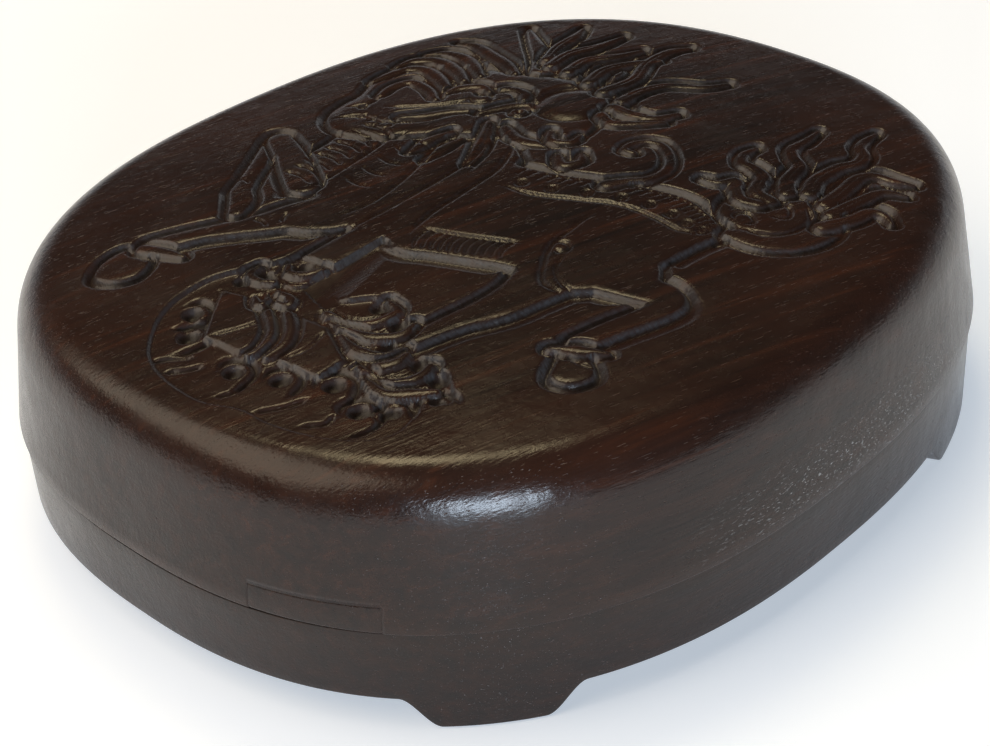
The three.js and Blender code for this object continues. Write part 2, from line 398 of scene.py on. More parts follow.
def carve_ribs(relief):
    """Rounded plates along the belly, the chest and the throat."""
    belly = smooth_line([(-23.2, -1.6), (-21, -7), (-18.6, -12), (-16.2, -17)], steps=4)
    inner = smooth_line([(-17.6, 0.4), (-15.8, -5), (-13.4, -10.5), (-11, -15.5)], steps=4)
    for i in range(1, 12):
        mid = (belly[i] + inner[i]) / 2 + (0, 0.7)
        relief.groove(belly[i], mid, inner[i], width=0.55, depth=0.42)
    relief.groove(*inner[::4], width=0.8, depth=0.5)
    for i in range(9):
        x = -18 + 2.5 * i
        relief.groove((x, 25.5 + 0.25 * i), (x + 1, 29.5 + 0.2 * i),
            (x + 0.4, 33 + 0.35 * i), width=0.75, depth=0.5)
    relief.groove((-19, 24.6), (-12, 25.4), (-5, 26.4), (1, 27.6), (5, 27), width=0.9, depth=0.55)
    for i in range(5):
        x = -13 + 4.2 * i
        relief.groove((x, 16.2 + 0.8 * i), (x - 0.8, 19.5 + 0.7 * i),
            (x, 23.2 + 0.5 * i), width=0.5, depth=0.3)


def carve_back(relief):
    """Scale band along the spine: rings, and short slanting cuts between them and the ridge."""
    spine = smooth_line([(7, 3), (9, -5), (12, -12), (15, -20), (16, -26), (14.5, -31), (13, -36)], steps=4)
    inner = smooth_line([(0, 1), (1, -5.5), (4.4, -12.5), (7.4, -18.5), (8, -25), (7.6, -30),
        (8.5, -34)], steps=4)
    relief.groove(*inner[::4], width=0.8, depth=0.5)
    middle = inner * 0.68 + spine * 0.32
    for x, y in middle[2::3]:
        relief.ring(x, y, 0.95)
        relief.pit(x, y, 0.5, 0.3)
    for i in range(1, 24):
        a, b = spine[i] * 0.92 + inner[i] * 0.08, spine[i] * 0.55 + inner[i] * 0.45
        relief.groove(a, (a + b) / 2 + (0, 0.35), b + (0, 0.5), width=0.42, depth=0.32)
    relief.groove(*(spine[::4] * 0.86 + inner[::4] * 0.14), width=0.4, depth=0.25)


def carve_tail(relief):
    relief.figure(
        Stroke((12.5, -37.5, 1.6), (14, -42, 2.3), (17, -45, 2.6), (21, -46.5, 2.4), (25, -46, 2),
            (28, -43.5, 1.6),
               (29.5, -40.5, 1.2), (29.5, -37, 0.6)),
        Outline((14.5, -38), (16, -32), (20, -30), (24, -30), (29, -32.5), (30.5, -38), (27, -44),
            (19, -45)),
        moat=1.2, depth=1.3, soft=1.6, wide=0.5,
    )
    relief.groove((14.6, -38), (15.8, -41.6), (19.4, -43.8), (24, -43.4),
        (26.6, -40.6), width=0.9, depth=0.6)
    for curl in (
        ((20.2, -38.4), (22, -40.6), (24.6, -39), (24, -36.8), (22, -37)),
        ((26, -37), (28.6, -36.4), (28.6, -34), (26.6, -33.6), (26, -35)),
        ((15.6, -36.6), (17.4, -37.6), (18.8, -35.6), (17.4, -33.8), (16, -34.8)),
        ((17.6, -32.6), (19.8, -32.6), (20.4, -30.8), (18.6, -30.2)),
    ):
        relief.groove(*curl, width=0.8, depth=0.6)
    flames = (
        ((22.5, -34.5, 1.2), (21.8, -31.5, 1.2), (23.6, -29, 1.1), (26, -27, 1), (23.6, -25.5, 0.8),
        (22.8, -22.5, 0.3)),
        ((24.5, -35, 1.4), (25.5, -31.5, 1.3), (30, -29.3, 1.2), (31.2, -26.4, 1.2), (31.6, -24, 1),
        (34, -22.2, 0.8),
         (37, -22.4, 0.3)),
        ((28.5, -35.5, 1.4), (32, -32.8, 1.3), (36.8, -31.4, 1.2), (38.6, -29, 1.1), (41, -26.7, 1),
        (44.6, -26.6, 0.8),
         (49, -26, 0.3)),
        ((31, -38, 1.5), (35, -36.2, 1.4), (40.6, -36.2, 1.3), (44, -37.4, 1.2), (47.2, -36.6, 1.1),
        (49, -34.6, 1),
         (51.4, -33.6, 0.8), (55, -33.4, 0.3)),
        ((30, -42, 1.5), (35.5, -41.3, 1.3), (40, -40.6, 1.2), (42.8, -42.2, 1.1), (43.4, -45.4, 0.9),
        (44.4, -48.4, 0.3)),
        ((28, -44.6, 1.4), (34, -45.2, 1.2), (38.4, -45.8, 1), (40, -47.4, 0.8), (40.8, -49.6, 0.3)),
        ((24, -46, 1.5), (28.6, -47.8, 1.3), (32.6, -48.4, 1.1), (33.4, -50.6, 0.8), (32, -53, 0.3)),
    )
    strands = [Stroke(*flame) for flame in flames]
    relief.figure(*strands, moat=0.9, depth=1.2, soft=1.1, drop=0.3, wide=0.5)
    for flame in flames:
        relief.groove(*[(x, y) for x, y, _ in flame[:-2]], width=0.35, depth=0.2)


def carve_tendril(relief):
    """Free spiral above the back."""
    relief.figure(
        Stroke((11.5, -12.5, 1.4), (14, -14, 1), (17, -16.3, 0.9), (21, -16.6, 0.9), (25, -14.2, 0.8),
               (27.5, -10.6, 0.8), (27, -7.6, 0.7), (24.6, -6.1, 0.7), (22.4, -6.6, 0.7),
               (22.4, -8.4, 0.6)),
        moat=0.8, depth=1.0, soft=0.9, drop=0.25, wide=0.4,
    )


def crest(relief, x, y, size=1.0, turn=0.0):
    """One curling wave: a cut that sweeps round the back of the curl. Gives back the pit under its lip."""
    c, s = math.cos(math.radians(turn)), math.sin(math.radians(turn))

    def place(px, py):
        return x + size * (px * c - py * s), y + size * (px * s + py * c)

    sweep = ((1.2, -2.4), (-1.5, -2.6), (-2.9, 0.2), (-1.6, 2.8), (1.4, 3.4), (3.8, 2.8))
    relief.groove(*[place(*p) for p in sweep], width=1.25 * size, depth=0.95)
    return (*place(0.2, 0.1), 1.9 * size)


def carve_waves(relief):
    mound = Outline(
        (-69, -8), (-68.8, 0), (-67, 6), (-64, 10), (-59, 14), (-54, 16), (-48, 16.2), (-44, 14.8),
        (-41, 12.5),
        (-36, 10.5), (-34, 8), (-34, 4), (-37, -1), (-39, -5), (-35.3, -9), (-35.6, -13.5), (-37, -17.8),
        (-41, -21),
        (-41.4, -25), (-42, -29), (-44, -33.5), (-47.5, -36.5), (-50, -33.6), (-53, -34.8), (-57, -35.4),
        (-61, -33),
        (-64.5, -27), (-66.4, -20), (-66.8, -14),
    )
    relief.sink(mound, 0.75, 0.6)
    pits = []
    for x, y, size, turn in (
        (-54.5, 11, 1.0, 150), (-58.7, 6.8, 1.1, 165), (-60.6, -5.6, 1.0, 190), (-57.8, -12.6, 1.0, 200),
        (-54, -19.6, 1.05, 215), (-56, -26.9, 1.0, 220), (-53.4, -30.6, 0.9, 240),
        (-48.2, -34, 0.8, 260),
    ):
        pits.append(crest(relief, x, y, size, turn))
    for line in (
        ((-66.4, 6), (-64.2, 4.2), (-61.6, 1.6)), ((-67, 2.4), (-65, 0.4), (-62.2, -1.2)),
        ((-66.4, -8.4), (-64, -9.6), (-61, -9.4)), ((-65.6, -15.4), (-62, -18), (-58.4, -19.4)),
        ((-63.6, -23), (-61, -25.4), (-58.6, -25)), ((-61, -30.4), (-58, -31.4), (-55, -31)),
    ):
        relief.groove(*line, width=0.8, depth=0.7)
    for x, y, radius in pits:
        relief.pit(x, y, radius, 1.4)


def carve_scrolls(relief):
    """Foam scrolls under the beast, between the block and the ground."""
    for hole_x, hole_y, radius in (
        (-38.2, -16.4, 1.5), (-36.8, -10.6, 1.3), (-43.4, -19.4, 1.4), (-43.2, -25.8, 1.4),
        (-44.2, -30.6, 1.5),
        (-36.4, 6.6, 1.4), (-41.2, 9.8, 1.2), (-44.4, 11.8, 1.2),
    ):
        relief.pit(hole_x, hole_y, radius + 0.4, 1.2)
    for strand in (
        ((-43, -6, 0.9), (-43.2, -9.4, 1.1), (-41.6, -12.4, 1.1), (-38.8, -13.8, 1), (-36, -13.6, 0.8),
        (-35.2, -11, 0.6)),
        ((-44.8, -8.4, 0.8), (-44.4, -12, 1.2), (-43, -15.8, 1.2), (-40.2, -18.6, 1), (-37, -18.4, 0.6)),
        ((-46, -12, 0.7), (-46.6, -16.4, 1.1), (-45.4, -20.6, 1.1), (-42.4, -21.6, 0.8)),
        ((-49.4, -17.6, 0.7), (-48.2, -21.2, 1.1), (-45.6, -23, 1.1), (-43, -23, 0.7)),
        ((-49.4, -20, 0.7), (-50.2, -24.4, 1.1), (-48, -27.4, 1.2), (-45, -28.2, 1), (-42.8, -27.6, 0.7)),
        ((-51, -22.8, 0.7), (-51.4, -27.4, 1.1), (-48.8, -30.4, 1.2), (-46.6, -32.6, 0.8)),
        ((-35.2, 3.8, 0.8), (-37.6, 4.8, 1), (-38.8, 7.2, 0.9), (-37.4, 9, 0.6)),
        ((-42, 7.2, 0.7), (-43.2, 9.4, 0.9), (-42.6, 12, 0.8), (-40.4, 12.2, 0.5)),
    ):
        relief.strand(*strand)


def carve_block(relief):
    """Plain block tied with a ribbon among the waves."""
    block = Outline((-48.2, 12), (-46, 3.5), (-46, -3), (-45.4, -8.6), (-49.4, -17), (-54.8, -17.2),
        (-55.6, -9),
                    (-57.6, -2.8), (-58.2, 4.2), (-53.5, 8), smooth=False)
    relief.figure(block, level=-0.15, soft=0.7, drop=0.35, moat=0.9, depth=0.8)
    relief.groove((-58, 3.8), (-54, 1.6), (-50, 0.2), (-46.2, -1), width=0.6, depth=0.4)
    relief.groove((-55.2, -9.6), (-51, -10.6), (-46.2, -9.4), width=0.6, depth=0.4)
    relief.strand((-46.2, 4.6, 0.8), (-48.4, 0.4, 0.9), (-51, -3, 0.9), (-55, -5.2, 0.9),
        (-57.4, -4.8, 0.6), level=0)
    relief.strand((-45.2, 1.4, 0.7), (-47, -2, 0.9), (-49.6, -5.2, 0.9), (-52.6, -7, 0.9),
        (-56, -7.4, 0.6), level=0)
    relief.strand((-44.4, 5.4, 0.5), (-45.6, 3.4, 0.9), (-47.4, 4.2, 0.8), (-46.6, 6.2, 0.5), level=0)
    relief.strand((-43.6, 4.4, 0.5), (-43.6, 1.6, 0.9), (-45, 0.4, 0.8), (-45.6, 2.2, 0.5), level=0)


def carve_head(relief):
    head = Outline(
        (2.8, 44.2), (0.2, 42.2), (-1.4, 38.4), (-1, 34.4), (2, 29), (6.5, 24), (10, 19), (14, 13),
        (17, 6), (21, 3),
        (27, 4), (33, 6), (37.6, 11), (38, 17), (36, 24), (33, 31), (31.5, 38), (28, 43), (23, 46.4),
        (17, 48),
        (11, 45.6), (7, 45.2),
    )
    relief.figure(head, moat=1.3, depth=1.4, soft=2.4, drop=0.35, wide=0.5)
    relief.groove((1.2, 41.6), (4.6, 38.4), (5.4, 33), (8.6, 28.6), (13.6, 25), width=0.9, depth=0.6)
    relief.groove((5.6, 43.4), (8.6, 41.2), (11.6, 41.6), (11.8, 44), width=0.7, depth=0.5)
    relief.pit(7.4, 41, 1.1, 0.6)
    for tooth in range(4):
        y = 38.2 - 2.3 * tooth
        relief.groove((3.2, y), (4.6, y - 0.4), (6.2, y), width=0.4, depth=0.35)
    relief.groove((9.5, 37.5), (13, 33), (16.6, 29.6), (20.4, 27.4), width=0.7, depth=0.5)
    relief.strand((13, 42.6, 0.8), (16.4, 43.6, 1.1), (20.4, 42.4, 1.1), (19.8, 37.4, 1), (17.4, 33, 0.6))
    relief.strand((8.4, 32.6, 0.6), (11.4, 29.6, 1), (15, 27.2, 1), (18, 23.6, 0.7))
    relief.ring(21.6, 16.8, 1.9, width=0.7, depth=0.6)
    relief.pit(21.6, 16.8, 0.9, 0.4)
    relief.strand((17.6, 22.4, 0.6), (20.6, 21.4, 1.1), (24.6, 19, 1.1), (26.4, 15, 0.7))
    relief.strand((24, 27.8, 0.6), (27.8, 26, 1.2), (28.6, 22.4, 1.2), (26.4, 20.2, 0.7))
    relief.groove((20.4, 31.4), (23.4, 29.6), (24.2, 26.2), (22, 24.4), (20, 26.2),
        (20.8, 28), width=0.8, depth=0.55)
    relief.figure(
        Outline((24.8, 15.4), (29.4, 17.8), (34, 16.6), (37, 12), (34.6, 7.4), (28, 6.6), (24, 10.4)),
        level=0.0, soft=2.6, drop=0.5, moat=1.0, depth=0.7,
    )
    relief.strand((16.4, 14.8, 0.9), (14.2, 10, 1.5), (15.4, 5.6, 1.3), (17.6, 3.4, 0.7))
    relief.strand((19.6, 7.6, 0.7), (17.4, 5.2, 1), (18.8, 2.2, 1), (21.6, 2.6, 0.6))
    relief.strand((14, 0.6, 0.7), (12, -2.4, 1.1), (14.6, -3.8, 1), (16.8, -2.2, 0.6))
    relief.strand((8.6, 17.6, 0.5), (3.6, 17.6, 1.2), (-0.8, 17, 0.5))
    relief.strand((9.6, 21, 0.5), (4.4, 21.8, 1.2), (-0.4, 21, 0.5))
    relief.strand((16, 18.6, 0.7), (11, 14.8, 1.2), (6, 11.6, 1.1), (2.6, 10.2, 0.5))


def carve_mane(relief):
    """Nested locks that arch over the brow, the horn, and the flames that stream behind."""
    relief.strand((16.6, 48.6, 0.6), (20.4, 48.4, 1.2), (24.4, 47.6, 1.4), (26, 44, 1.3),
        (24.4, 39, 1.1), (21.4, 34, 0.6))
    relief.strand((24, 50, 0.6), (28, 49.4, 1.3), (30.4, 45.6, 1.4), (29.2, 40, 1.2), (26.4, 35, 0.7))
    relief.strand((31, 49.6, 0.5), (33.6, 47, 1.2), (34.2, 43, 1.3), (32.4, 38.4, 1.1), (29.6, 34, 0.6))
    relief.strand((38.4, 48.6, 0.4), (39.6, 44.8, 1.1), (38, 39.4, 1.3), (36.4, 34, 1.2), (34, 29.6, 0.7))
    relief.strand((20.4, 33.4, 0.6), (23.4, 33, 1.2), (26, 30.4, 1.1), (25.4, 27.6, 0.6))
    relief.figure(
        Stroke((37.6, 26.8, 1.8), (42, 30.6, 1.6), (46.4, 36.2, 1.3), (50.6, 42, 0.6)),
        moat=1.1, depth=1.3, soft=1.2, drop=0.3, wide=0.5,
    )
    flames = (
        ((40.4, 27, 1.3), (46.6, 28, 1.4), (52, 26.2, 1.3), (58.6, 25.8, 0.5)),
        ((42, 29.6, 1.1), (47.6, 32, 1.2), (53, 33, 1.1), (57, 34.4, 0.5)),
        ((40.4, 22.6, 1.4), (46, 23.4, 1.3), (50.6, 20.4, 1.2), (55.6, 18.6, 0.5)),
        ((39, 16.4, 1.4), (44.6, 17.8, 1.3), (50, 16, 1.1), (54, 13, 0.5)),
        ((37.6, 11.6, 1.4), (44.6, 11, 1.3), (51.6, 14, 1.2), (58.4, 14.6, 1.1), (62, 12.8, 0.5)),
        ((36.4, 6.6, 1.3), (41.6, 6.6, 1.3), (46.4, 4.6, 1.2), (50, -0.6, 1), (53.6, -2.8, 0.6)),
        ((33.6, 6, 1.3), (33.4, 2, 1.3), (34.6, -2.4, 1.1), (38.4, -4.4, 0.6)),
        ((30, 5.4, 1.1), (28.6, 1.8, 1.1), (31, -1.4, 1), (34.4, -4.8, 0.5)),
    )
    strands = [Stroke(*flame) for flame in flames]
    relief.figure(*strands, moat=0.9, depth=1.3, soft=1.2, drop=0.3, wide=0.5)
    for flame in flames:
        relief.groove(*[(x, y) for x, y, _ in flame[:-1]], width=0.35, depth=0.22)
    for x, y in ((41.6, 20.2), (41.4, 14.2), (39.6, 9), (36, 3.4)):
        relief.pit(x, y, 1.5, 0.7)


def carve(x, y):
    """Height of the carving at each point of the lid's top, in millimetres from the plain crown."""
    relief = Relief(x, y)
    carve_legs_and_body(relief)
    carve_waves(relief)
    carve_scrolls(relief)
    carve_block(relief)
    carve_head(relief)
    carve_muscles(relief)
    carve_ribs(relief)
    carve_back(relief)
    carve_tendril(relief)
    carve_tail(relief)
    carve_mane(relief)
    return np.clip(relief.height, -DEEPEST_CUT, 0.2)


# ---------------------------------------------------------------- pieces of the box

def lid_wall(z):
    return HALF_LENGTH - LID_WALL_LEAN * (z - LID_RIM_Z) / (LID_WALL_TOP_Z - LID_RIM_Z)


def shoulder_profile(steps):
    """(long half-axis, height) from the crown's edge over the shoulder down to the wall."""
    wall_slope = LID_WALL_LEAN / (LID_WALL_TOP_Z - LID_RIM_Z)
    crown_slope = 2 * (CROWN_Z - SHOULDER_TOP_Z) / (CROWN_EDGE - (HALF_LENGTH - HALF_WIDTH))
    start = np.array([CROWN_EDGE, SHOULDER_TOP_Z])
    end = np.array([HALF_LENGTH - LID_WALL_LEAN, LID_WALL_TOP_Z])
    pull = 0.55
    run, rise = (end[0] - start[0]) * pull, (start[1] - end[1]) * pull
    first = start + (run, -crown_slope * run)
    second = end + (-wall_slope * rise, rise)
    t = np.linspace(0, 1, steps + 1)[1:, None]
    return (1 - t) ** 3 * start + 3 * (1 - t) ** 2 * t * first + 3 * (1 - t) * t**2 * second + t**3 * end


def seam_lift(angles):
    """How far the lid's rim stands off the base: the black gap is widest at the left of the photograph."""
    middle, reach = even_angle(-179), math.radians(36)
    away = (angles - middle + np.pi) % (2 * np.pi) - np.pi
    return 0.52 * np.clip(1 - (away / reach) ** 2, 0, 1) ** 1.2


def in_strip(angles):
    return (angles > even_angle(STRIP_FROM)) & (angles < even_angle(STRIP_TO))


def snap_to_strip(angles):
    """The two vertices on either side of each end of the strip move right up to the joint."""
    moved = angles.copy()
    hair = STRIP_JOINT / HALF_LENGTH
    for end, inwards in ((even_angle(STRIP_FROM), 1), (even_angle(STRIP_TO), -1)):
        order = np.argsort(np.abs((angles - end + np.pi) % (2 * np.pi) - np.pi))[:2]
        for i in order:
            inside = (angles[i] - end) * inwards > 0
            moved[i] = end + (hair * 0.2 if inside else -hair) * inwards
    return moved


def make_lid():
    shell = Shell()
    rho, phi, ring, quads = disc_grid(CROWN_CELLS)
    crown = shell.add(oval(phi, CROWN_EDGE) * rho[:, None], CROWN_Z - (CROWN_Z - SHOULDER_TOP_Z) * rho**2)
    shell.faces += quads.tolist()
    angles = phi[ring]
    edge = crown[ring]
    edge = shell.rings(edge, angles, shoulder_profile(22))
    carved_count = shell.count
    heights = [30.4, 28, 25.6, 23.6, 22.2, STRIP_TOP_Z + 0.015]
    edge = shell.rings(edge, angles, [(lid_wall(z), z) for z in heights])

    # Below the strip's top edge the rings step in where its pocket is.
    snapped = snap_to_strip(angles)
    pocket = in_strip(snapped)
    lift = seam_lift(snapped)

    def low_ring(long_half, z):
        half = np.where(pocket, HALF_LENGTH - STRIP_DEPTH, long_half)
        return shell.add(oval(snapped, half), z)

    for z in (STRIP_TOP_Z, 19.4):
        row = low_ring(lid_wall(z), z)
        shell.bridge(edge, row)
        edge = row
    for out, up in ((0, 0.28), (-0.04, 0.12), (-0.12, 0.03), (-0.28, 0)):
        row = low_ring(HALF_LENGTH + out, SHUT_Z + up + lift)
        shell.bridge(edge, row)
        edge = row

    coarse = snapped[::8]
    row = shell.add(oval(coarse, REBATE + 1.2), SHUT_Z + lift[::8])
    shell.bridge(edge, row)
    inside = [
        (REBATE + 0.4, LID_RIM_Z + 0.6), (REBATE, LID_RIM_Z + 0.9), (REBATE, 20.6), (CAVITY + 0.4, 20.6),
        (CAVITY, 21), (CAVITY, CEILING_Z - 3), (CAVITY - 0.9, CEILING_Z - 0.9), (CAVITY - 3, CEILING_Z),
    ]
    row = shell.rings(row, coarse, inside)
    shell.cover(row, coarse, CAVITY - 3, CEILING_Z)

    points = shell.all_points()
    height = np.zeros(len(points))
    top = slice(0, carved_count)
    height[top] = carve(points[top, 0], points[top, 1])
    # The cut mark, the steepness of the carving's walls, carries their painted blue-grey reflection.
    cut = np.zeros(len(points))
    cut[: len(rho)] = steepness(height[: len(rho)])
    points[:, 2] += height
    # The recess mark carries painted shade in the deepest cuts, as well as their roughness.
    marks = {"recess": np.clip(-height / 2, 0, 1), "worn": worn_edges(points),
        "pore_glint": pore_glint_wall(points),
             "cut": cut}
    return shell.build("lid_carved", points, marks)


def steepness(height):
    """1 on the steep walls of the carving and 0 on its level parts, from the crown's square grid."""
    side = CROWN_CELLS + 1
    across, along = np.gradient(height.reshape(side, side), 2 * CROWN_EDGE / CROWN_CELLS)
    return np.clip((np.hypot(across, along) - 0.45) / 0.9, 0, 1).ravel()


def worn_edges(points):
    """Where hands have rubbed the lid: the shoulder all round and the rim."""
    z = points[:, 2]
    shoulder = np.clip(1 - np.abs(z - 38.3) / 4.5, 0, 1)
    rim = np.clip(1 - np.abs(z - (LID_RIM_Z + 0.8)) / 1.1, 0, 1)
    return np.clip(0.7 * shoulder + rim, 0, 1)


def pore_glint_wall(points):
    """Where painted highlights sparkle in the pores: the wall just above the seam, at the photograph's right.
    """
    angle = np.degrees(np.arctan2(points[:, 1], points[:, 0]))
    low = np.clip(1 - np.abs(points[:, 2] - 21) / 7, 0, 1)
    return low * np.clip((angle + 118) / 20, 0, 1) * np.clip((10 - angle) / 40, 0, 1)


def make_strip():
    """Strip of wood let into the lid's lower edge, with its own edges a little rounded."""
    lo, hi = even_angle(STRIP_FROM), even_angle(STRIP_TO)
    angles = np.linspace(lo, hi, 41)
    work = bmesh.new()
    loops = []
    for i, angle in enumerate(angles):
        end = min(i, len(angles) - 1 - i)
        tuck = 0.03 if end == 0 else 0.0
        bottom = SHUT_Z + 0.03 + float(seam_lift(angle)) + tuck
        top = STRIP_TOP_Z - 0.012 - tuck
        section = [
            (HALF_LENGTH - STRIP_DEPTH + 0.1, bottom), (HALF_LENGTH - 0.28 - tuck, bottom),
            (HALF_LENGTH - 0.04 - tuck, bottom + 0.2), (HALF_LENGTH - tuck, bottom + 0.4),
            (lid_wall(top - 0.3) - tuck, top - 0.3), (lid_wall(top - 0.06) - tuck, top - 0.06),
            (lid_wall(top) - 0.05 - tuck, top), (HALF_LENGTH - STRIP_DEPTH + 0.1, top),
        ]
        loop = []
        for long_half, z in section:
            x, y = oval(angle, long_half)
            loop.append(work.verts.new((x * MM, y * MM, z * MM)))
        loops.append(loop)
    for a, b in zip(loops, loops[1:]):
        for k in range(len(a)):
            after = (k + 1) % len(a)
            work.faces.new((a[k], b[k], b[after], a[after]))
    work.faces.new(loops[0])
    work.faces.new(loops[-1])
    mesh = bpy.data.meshes.new("lid_rim_strip")
    work.to_mesh(mesh)
    work.free()
    piece = finish_mesh("lid_rim_strip", mesh)
    sharpen(piece, 50)
    return piece


def sharpen(piece, degrees):
    """Creases sharper than this angle stay crisp."""
    piece.data.set_sharp_from_angle(angle=math.radians(degrees))


def foot_drop(angles):
    """How far the base reaches down at each angle, 0 at the body and 1 on a foot: flat, with ogee ends."""
    drop = np.zeros(len(angles))
    for middle in FOOT_MIDDLES:
        start = even_angle(middle - FOOT_SPREAD / 2)
        finish = even_angle(middle + FOOT_SPREAD / 2)
        along = ((angles - start + np.pi) % (2 * np.pi) - np.pi) / (finish - start)
        end = (1 - FOOT_FLAT) / 2
        t = np.clip(np.minimum(along, 1 - along) / end, 0, 1)
        drop = np.maximum(drop, t * t * (3 - 2 * t))
    return drop


def make_base():
    shell = Shell()
    angles = np.linspace(-np.pi, np.pi, 1441)[:-1]
    foot_z = FOOT_HEIGHT * (1 - foot_drop(angles))
    row = shell.add(oval(angles, BASE_RIM - 1.0), SEAM_Z)
    land = row
    for half, z in arc_profile((BASE_RIM - 0.15, SEAM_Z - 0.15), 0.15, 80, 0):
        nxt = shell.add(oval(angles, half), z)
        shell.bridge(row, nxt)
        row = nxt
    for share in (0.85, 0.6, 0.4, 0.2, 0.1):
        z = SEAM_Z - 0.4 - (1 - share) * (SEAM_Z - 0.4 - foot_z - 0.3)
        nxt = shell.add(oval(angles, BASE_FOOT + (BASE_RIM - BASE_FOOT) * share), z)
        shell.bridge(row, nxt)
        row = nxt
    for half, up in arc_profile((BASE_FOOT - 0.3, 0.3), 0.3, 0, -90):
        nxt = shell.add(oval(angles, half), foot_z + up)
        shell.bridge(row, nxt)
        row = nxt
    inner = shell.add(oval(angles, BASE_FOOT - 8.6), foot_z)
    shell.bridge(row, inner)
    up_again = shell.add(oval(angles, BASE_FOOT - 9.0), FOOT_HEIGHT)
    shell.bridge(inner, up_again)
    coarse = angles[::8]
    row = shell.add(oval(coarse, BASE_FOOT - 11), FOOT_HEIGHT)
    shell.bridge(up_again, row)
    shell.cover(row, coarse, BASE_FOOT - 11, FOOT_HEIGHT)

    row = shell.add(oval(coarse, LIP_OUTER + 0.3), SEAM_Z)
    shell.bridge(land, row)
    lip = [
        (LIP_OUTER, SEAM_Z + 0.2), (LIP_OUTER, LIP_TOP_Z - 0.6), (LIP_OUTER - 0.6, LIP_TOP_Z),
        (CAVITY + 0.6, LIP_TOP_Z), (CAVITY, LIP_TOP_Z - 0.6), (CAVITY, FLOOR_Z + 0.5),
        (CAVITY - 0.5, FLOOR_Z),
    ]
    row = shell.rings(row, coarse, lip)
    shell.cover(row, coarse, CAVITY - 0.5, FLOOR_Z)
    piece = shell.build("base_shell")
    sharpen(piece, 40)
    return piece


def make_inkstone():
    """Oval slab: raised border, dished grinding field, crescent pool at one end."""
    foot_z, top_z = 10.5, 30.5
    shell = Shell()
    rho, phi, ring, quads = disc_grid(128)
    xy = oval(phi, STONE_EDGE - 1.2) * rho[:, None]
    from_edge = (1 - rho) * (STONE_EDGE - 1.2)
    z = top_z - stone_hollow(xy[:, 0], xy[:, 1], from_edge)
    top = shell.add(xy, z)
    shell.faces += quads.tolist()
    angles = phi[ring]
    edge = shell.rings(top[ring], angles, arc_profile((STONE_EDGE - 1.2, top_z - 1.2), 1.2, 75, 0))
    edge = shell.rings(edge, angles, [(STONE_EDGE, 22), (STONE_EDGE, 16)])
    edge = shell.rings(edge, angles, arc_profile((STONE_EDGE - 1.2, foot_z + 1.2), 1.2, 0, -90))
    coarse = angles[::8]
    row = shell.add(oval(coarse, STONE_EDGE - 4), foot_z)
    shell.bridge(edge, row)
    shell.cover(row, coarse, STONE_EDGE - 4, foot_z)
    return shell.build("inkstone_slab")


def stone_hollow(x, y, from_edge):
    """Depth of the stone's top below its border, in millimetres."""
    border, field_depth, pool_depth = 6.0, 1.6, 7.6
    field = field_depth * smooth_step((from_edge - border + 1.2) / 2.0)
    worn_dish = 0.5 * np.clip(1 - np.hypot(x + 18, y) / 46, 0, 1)
    to_pool = np.hypot(x + 18, y) - 50
    pool = smooth_step(to_pool / 9) * smooth_step((from_edge - 9) / 2.2)
    return field + worn_dish + pool * pool_depth


def smooth_step(t):
    t = np.clip(t, 0, 1)
    return t * t * (3 - 2 * t)


# ---------------------------------------------------------------- materials

class Nodes:
    """Small helper for building a material, or the world, out of nodes."""

    def __init__(self, name, tree=None):
        self.tree = tree
        if tree is None:
            self.material = bpy.data.materials.new(name)
            self.material.use_nodes = True
            self.tree = self.material.node_tree
            self.shader = self.tree.nodes["Principled BSDF"]

    def add(self, kind, settings=None, **inputs):
        node = self.tree.nodes.new(kind)
        for key, value in (settings or {}).items():
            setattr(node, key, value)
        for key, value in inputs.items():
            self.put(node.inputs[key.replace("_", " ")], value)
        return node

    def put(self, socket, value):
        if isinstance(value, bpy.types.NodeSocket):
            self.tree.links.new(value, socket)
        else:
            socket.default_value = value

    def place(self, scale=(1, 1, 1), turn=0.0):
        """Object coordinates in millimetres, turned about Z and then scaled."""
        where = self.add("ShaderNodeTexCoord").outputs["Object"]
        turned = self.add("ShaderNodeMapping", Vector=where, Rotation=(0, 0, math.radians(turn)),
                          Scale=(1000, 1000, 1000)).outputs[0]
        return self.add("ShaderNodeMapping", Vector=turned, Scale=scale).outputs[0]

    def noise(self, vector, scale, detail=4.0, roughness=0.55, distortion=0.0):
        return self.add("ShaderNodeTexNoise", Vector=vector, Scale=scale, Detail=detail,
            Roughness=roughness,
                        Distortion=distortion).outputs[0]

    def ramp(self, value, low, high, to_low=0.0, to_high=1.0):
        node = self.add("ShaderNodeMapRange")
        node.clamp = True
        for key, given in zip(("Value", "From Min", "From Max", "To Min", "To Max"),
                              (value, low, high, to_low, to_high)):
            self.put(node.inputs[key], given)
        return node.outputs[0]

    def maths(self, operation, a, b=0.0):
        node = self.add("ShaderNodeMath", {"operation": operation})
        self.put(node.inputs[0], a)
        self.put(node.inputs[1], b)
        return node.outputs[0]

    def mix(self, share, a, b):
        node = self.add("ShaderNodeMix", {"data_type": "RGBA"})
        self.put(node.inputs[0], share)
        self.put(node.inputs[6], a if isinstance(a, bpy.types.NodeSocket) else (*a, 1))
        self.put(node.inputs[7], b if isinstance(b, bpy.types.NodeSocket) else (*b, 1))
        return node.outputs[2]

    def mark(self, name):
        return self.add("ShaderNodeAttribute", {"attribute_name": name}).outputs["Fac"]

    def bump(self, height, distance, strength=1.0, under=None):
        node = self.add("ShaderNodeBump", Height=height, Distance=distance, Strength=strength)
        if under is not None:
            self.put(node.inputs["Normal"], under)
        return node.outputs[0]


